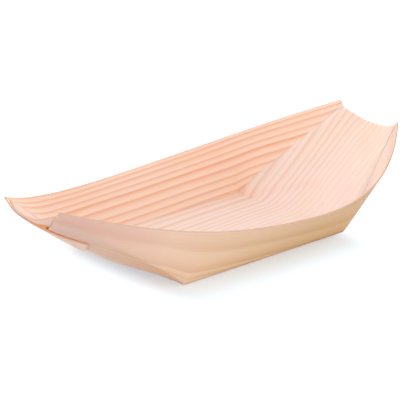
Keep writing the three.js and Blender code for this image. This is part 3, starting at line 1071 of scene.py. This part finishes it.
class DISH_OT_fold_corner_tabs(bpy.types.Operator):
    """Make the four corner tabs, two lapped behind each end wall"""

    bl_idname = "dish.fold_corner_tabs"
    bl_label = "Corner Tabs"

    def execute(self, context):
        sizes = context.scene.dish_sizes
        form = Form(sizes)
        cuts = ["last_row", "last_column"]
        for name, side, step_out in (("inner_tab", 1, 0), ("outer_tab", -1, form.layer)):
            materials = wood_materials(context.scene.dish_colours, f"peeled_pine_{name}")
            sheet = tab_sheet(form, side, step_out)
            for end, placed in (("fore", sheet), ("aft", sheet.turned())):
                piece = closed_shell(
                    f"{end}_{name}_veneer", placed, cuts, sizes.cut_bevel, materials)
                place_piece(piece, "tab_veneer", f"{end}_{name}")
        return {"FINISHED"}


class DISH_OT_dab_glue(bpy.types.Operator):
    """Make the glue dabs between the layers of each end"""

    bl_idname = "dish.dab_glue"
    bl_label = "Glue Dabs"

    def execute(self, context):
        sizes = context.scene.dish_sizes
        form = Form(sizes)
        materials = [dried_glue(context.scene.dish_colours)]
        inset = (sizes.glue_gap - sizes.glue_film) / 2
        # The wall's dab lies on the inner tab, towards its cut corner
        pull = 4
        middle = (form.root + form.tip + pull * form.cut_end) / (2 + pull)
        dabs = (("wall_glue", middle[0], middle[1], sizes.veneer + inset),
                ("tab_glue", 0.0, form.cut_end[1], inset - sizes.glue_gap))
        for count, (name, across, slope, inward) in enumerate(dabs):
            sheet = glue_sheet(form, across, slope, inward, 1.0 + count)
            for end, placed in (("fore", sheet), ("aft", sheet.turned())):
                piece = closed_shell(f"{end}_{name}_dab", placed, [], sizes.cut_bevel, materials)
                place_piece(piece, "dried_glue", f"{end}_{name}")
        return {"FINISHED"}


class DISH_OT_set_stage(bpy.types.Operator):
    """Lay the white sweep, light it softly and set the camera"""

    bl_idname = "dish.set_stage"
    bl_label = "Stage"

    def execute(self, context):
        scene = context.scene
        stage = scene.dish_stage
        scene.view_settings.view_transform = "Standard"
        self.lay_floor(scene, stage)
        self.light_room(scene, stage)
        self.hang_softbox(scene, stage)
        self.set_camera(scene, stage)
        return {"FINISHED"}

    def lay_floor(self, scene, stage):
        half = stage.floor_size / 2
        mesh = bpy.data.meshes.new("paper_sweep")
        corners = [(-half, -half, 0), (half, -half, 0), (half, half, 0), (-half, half, 0)]
        mesh.from_pydata(corners, [], [(0, 1, 2, 3)])
        mesh.materials.append(white_sweep(stage))
        floor = bpy.data.objects.new("paper_sweep", mesh)
        scene.collection.objects.link(floor)

    def light_room(self, scene, stage):
        """White room: full white to the eye, softer as light."""
        world = bpy.data.worlds.new("white_room")
        scene.world = world
        world.use_nodes = True
        tree = world.node_tree
        tree.nodes.clear()
        direction = add(tree, "TexCoord").outputs["Generated"]
        height = add(tree, "SeparateXYZ", None, {0: direction}).outputs["Z"]
        room = add(tree, "MapRange", None, {
            "Value": height, "To Min": stage.wall_level, "To Max": stage.ceiling_level})
        level = add(tree, "MapRange", None, {"Value": seen_rays(tree), "To Min": room})
        sky = add(tree, "Background", None, {"Color": (1, 1, 1, 1), "Strength": level})
        add(tree, "OutputWorld", None, {"Surface": sky})

    def hang_softbox(self, scene, stage):
        lamp = bpy.data.lights.new("overhead_softbox", "AREA")
        lamp.energy = stage.key_power
        lamp.size = stage.key_size
        softbox = bpy.data.objects.new("overhead_softbox", lamp)
        softbox.location = stage.key_place
        softbox.rotation_euler = (-softbox.location).to_track_quat("-Z", "Y").to_euler()
        scene.collection.objects.link(softbox)

    def set_camera(self, scene, stage):
        data = bpy.data.cameras.new("camera")
        data.lens = stage.camera_lens
        data.shift_x = stage.shift_right
        data.shift_y = stage.shift_up
        level = math.cos(stage.camera_elevation)
        back = Vector((math.sin(stage.camera_azimuth) * level,
                       -math.cos(stage.camera_azimuth) * level,
                       math.sin(stage.camera_elevation)))
        camera = bpy.data.objects.new("camera", data)
        camera.location = Vector((0, 0, stage.camera_height)) + stage.camera_distance * back
        camera.rotation_euler = (-back).to_track_quat("-Z", "Y").to_euler()
        scene.collection.objects.link(camera)
        scene.camera = camera


class DISH_PT_sidebar(bpy.types.Panel):
    """Sizes, colours and pieces of the boat dish"""

    bl_idname = "DISH_PT_sidebar"
    bl_label = "Boat Dish"
    bl_space_type = "VIEW_3D"
    bl_region_type = "UI"
    bl_category = "Boat Dish"

    def draw(self, context):
        layout = self.layout
        for operator in OPERATORS:
            layout.operator(operator.bl_idname)
        for group in SETTINGS:
            settings = getattr(context.scene, group)
            box = layout.box()
            for name in settings.__annotations__:
                box.prop(settings, name)


SETTINGS = {"dish_sizes": DishSizes, "dish_colours": VeneerColours, "dish_stage": StageSettings}
OPERATORS = (DISH_OT_fold_tongue, DISH_OT_fold_side_walls, DISH_OT_fold_corner_tabs,
             DISH_OT_dab_glue, DISH_OT_set_stage)
CLASSES = (*SETTINGS.values(), *OPERATORS, DISH_PT_sidebar)


def register():
    for each in CLASSES:
        bpy.utils.register_class(each)
    for name, group in SETTINGS.items():
        setattr(bpy.types.Scene, name, bpy.props.PointerProperty(type=group))


def unregister():
    for name in SETTINGS:
        delattr(bpy.types.Scene, name)
    for each in reversed(CLASSES):
        bpy.utils.unregister_class(each)


def main():
    register()
    bpy.ops.dish.fold_tongue()
    bpy.ops.dish.fold_side_walls()
    bpy.ops.dish.fold_corner_tabs()
    bpy.ops.dish.dab_glue()
    bpy.ops.dish.set_stage()


if __name__ == "__main__":
    main()
